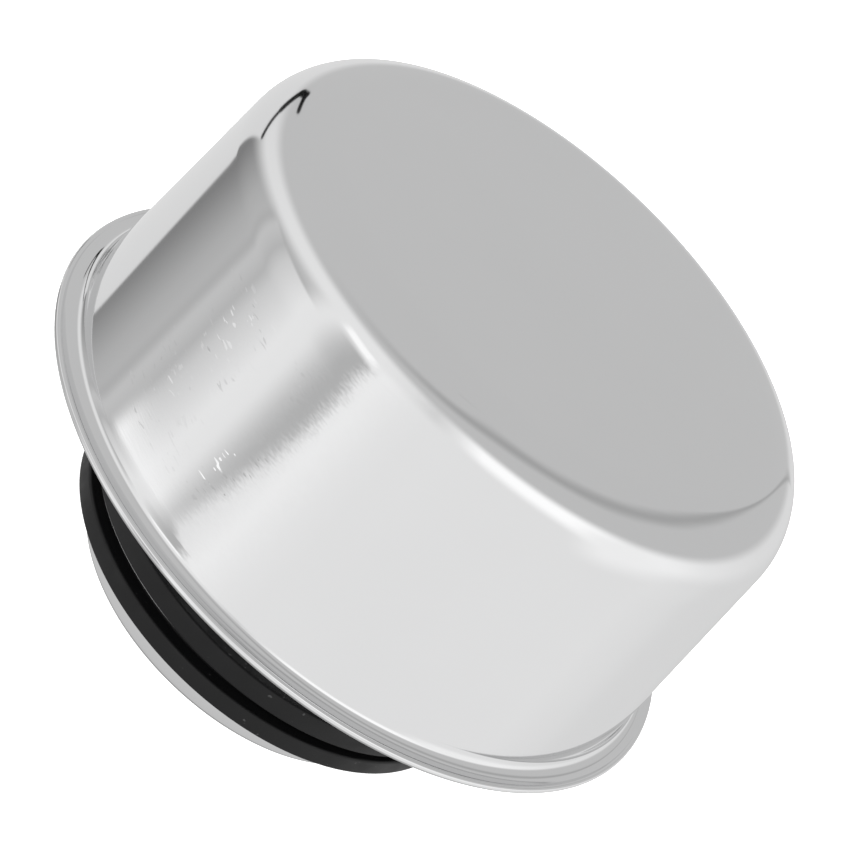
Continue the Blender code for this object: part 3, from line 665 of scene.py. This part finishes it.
def lay_left_gap(graph, sky, az, el, off, dip):
    """Pale gap at the far left, with a black flag's edge over it."""
    edge = graph.math("ADD", graph.math("MULTIPLY", graph.math("ADD", el, 25.0), 0.57), -133.5)
    edge = graph.math("ADD", edge, graph.math("MULTIPLY", dip, 2.6))
    beside = graph.ramp(graph.math("SUBTRACT", az, edge), -1.5, 1.0, 1.0, 0.0)
    roof = graph.math("MULTIPLY", graph.math("ADD", az, 144.0), -0.48)
    roof = graph.math("ADD", roof, 9.0)
    below = graph.ramp(graph.math("SUBTRACT", el, roof), -1.0, 1.0, 1.0, 0.0)
    sky = graph.lay(sky, tone(LEFT_GAP), graph.both(beside, below, graph.ramp(off, 66, 69)))
    for start, end in zip(HOOK_PLACES, HOOK_PLACES[1:]):
        sky = graph.lay(sky, tone(HOOK), stroke(graph, az, el, start[:2], end[:2], start[2], 1.2))
    return sky


def make_world():
    """Studio round the object, as tones by the direction that the chrome mirrors."""
    world = bpy.data.worlds.new("studio")
    bpy.context.scene.world = world
    world.use_nodes = True
    graph = Graph(world.node_tree)
    split = graph.add("ShaderNodeSeparateXYZ")
    graph.put(split.inputs[0], graph.add("ShaderNodeTexCoord").outputs["Generated"])
    x, y, z = split.outputs
    az = graph.math("DEGREES", graph.math("ARCTAN2", x, graph.math("MULTIPLY", y, -1.0)))
    el = graph.math("DEGREES", graph.math("ARCSINE", z))
    dip = graph.math("MAXIMUM", graph.math("SUBTRACT", WALL_FOOT, el), 0.0)
    toward = graph.math("ADD", graph.math("MULTIPLY", y, cos(CANOPY_TILT)),
                        graph.math("MULTIPLY", z, sin(CANOPY_TILT)))
    off = graph.math("DEGREES", graph.math("ARCCOSINE", toward))

    sky = lay_walls(graph, az, el, dip)
    sky = lay_canopy(graph, sky, az, el, off)
    sky = lay_left_gap(graph, sky, az, el, off, dip)
    floor_tone = graph.curve(el, tones(FLOOR_LEVELS))
    sky = graph.lay(sky, floor_tone, graph.ramp(el, -36, -31, 1.0, 0.0))
    background = world.node_tree.nodes["Background"]
    graph.put(background.inputs["Color"], sky)
    background.inputs["Strength"].default_value = 1.0


# ---- floor, backdrop, lights and camera ---------------------------------------------------------
FLOOR_REACH = 2.2
FLOOR_BEND = 0.8                     # radius where the floor turns up into the backdrop
FLOOR_ROUND = 96
FLOOR_GLOW = 0.92


def make_floor():
    """Plain pale floor and backdrop in one, seen by the camera alone and clear from outside."""
    outline = [(0.0, 0.0), (0.15, 0.0), (0.6, 0.0)]
    outline += arc((FLOOR_REACH - FLOOR_BEND, FLOOR_BEND), FLOOR_BEND, -pi / 2, 0, 16)
    outline += arc((0.0, FLOOR_REACH * 0.6), FLOOR_REACH, 0, pi / 2, 24)[1:-1]
    outline.append((0.0, FLOOR_REACH * 1.6))
    mesh_data = bmesh.new()
    rings = []
    for radius, z in outline:
        if radius == 0:
            rings.append([mesh_data.verts.new((0, 0, z))])
            continue
        rings.append([mesh_data.verts.new((radius * cos(2 * pi * i / FLOOR_ROUND),
                                           radius * sin(2 * pi * i / FLOOR_ROUND), z))
                      for i in range(FLOOR_ROUND)])
    for ring, after in zip(rings, rings[1:]):
        for i in range(FLOOR_ROUND):
            j = (i + 1) % FLOOR_ROUND
            corners = [ring[i % len(ring)], ring[j % len(ring)],
                       after[j % len(after)], after[i % len(after)]]
            mesh_data.faces.new(list(dict.fromkeys(corners)))
    bmesh.ops.recalc_face_normals(mesh_data, faces=mesh_data.faces)
    bmesh.ops.reverse_faces(mesh_data, faces=mesh_data.faces)
    mesh = bpy.data.meshes.new("floor")
    mesh_data.to_mesh(mesh)
    mesh_data.free()
    mesh.shade_smooth()
    material, graph, shader = new_material("pale_paper_floor", (0.93, 0.93, 0.93), 1.0)
    mottle = noise(graph, place(graph), 9.0, 3.0)
    tinted(graph, shader, ((0.94, 0.94, 0.94), (0.92, 0.92, 0.92)), mottle)
    shader.inputs["Specular IOR Level"].default_value = 0.0
    shader.inputs["Emission Color"].default_value = (1.0, 1.0, 1.0, 1.0)
    shader.inputs["Emission Strength"].default_value = FLOOR_GLOW
    outside = graph.add("ShaderNodeNewGeometry").outputs["Backfacing"]
    graph.put(shader.inputs["Alpha"], graph.math("SUBTRACT", 1.0, outside))
    mesh.materials.append(material)
    floor = bpy.data.objects.new("floor", mesh)
    bpy.context.scene.collection.objects.link(floor)
    floor.visible_glossy = False
    floor.visible_diffuse = False
    floor.visible_shadow = False


def add_light(name, spot, size, power):
    """Soft square lamp aimed at the object; it lights surfaces but isn't mirrored."""
    data = bpy.data.lights.new(name, "AREA")
    data.size = size
    data.energy = power
    lamp = bpy.data.objects.new(name, data)
    lamp.location = spot
    middle = (cad_low + cad_high) / 2
    lamp.rotation_mode = "QUATERNION"
    lamp.rotation_quaternion = (middle - Vector(spot)).to_track_quat("-Z", "Y")
    lamp.visible_glossy = False
    lamp.visible_camera = False
    bpy.context.scene.collection.objects.link(lamp)


CAMERA_SPOT = Vector((-0.08, -262.55, 173.60)) * MM
CAMERA_BACK = Vector((0.0, -0.8771, 0.4804))      # from what it looks at to the camera
CAMERA_RIGHT = Vector((0.7198, 0.3335, 0.6089))   # its right side, before it is squared to that
CAMERA_LENS = 125.4                  # mm, as is the sensor
CAMERA_SENSOR = 36.0


def make_camera():
    """Camera close in front, above, and rolled so that the cap leans to the upper right."""
    data = bpy.data.cameras.new("camera")
    data.sensor_width = CAMERA_SENSOR
    data.lens = CAMERA_LENS
    data.clip_start = 0.01
    data.clip_end = 20.0
    camera = bpy.data.objects.new("camera", data)
    back = CAMERA_BACK.normalized()
    right = (CAMERA_RIGHT - back * CAMERA_RIGHT.dot(back)).normalized()
    up = back.cross(right)
    spot = CAMERA_SPOT
    camera.matrix_world = Matrix((
        (right.x, up.x, back.x, spot.x), (right.y, up.y, back.y, spot.y),
        (right.z, up.z, back.z, spot.z), (0, 0, 0, 1)))
    bpy.context.scene.collection.objects.link(camera)
    bpy.context.scene.camera = camera


make_world()
make_floor()
add_light("top_lamp", (0.1, -0.1, 1.2), 1.2, 16.0)
add_light("front_lamp", (-0.5, -1.1, 0.5), 0.9, 9.0)
add_light("back_lamp", (0.6, 0.9, 0.7), 0.9, 7.0)
make_camera()
bpy.context.scene.view_settings.view_transform = "Standard"
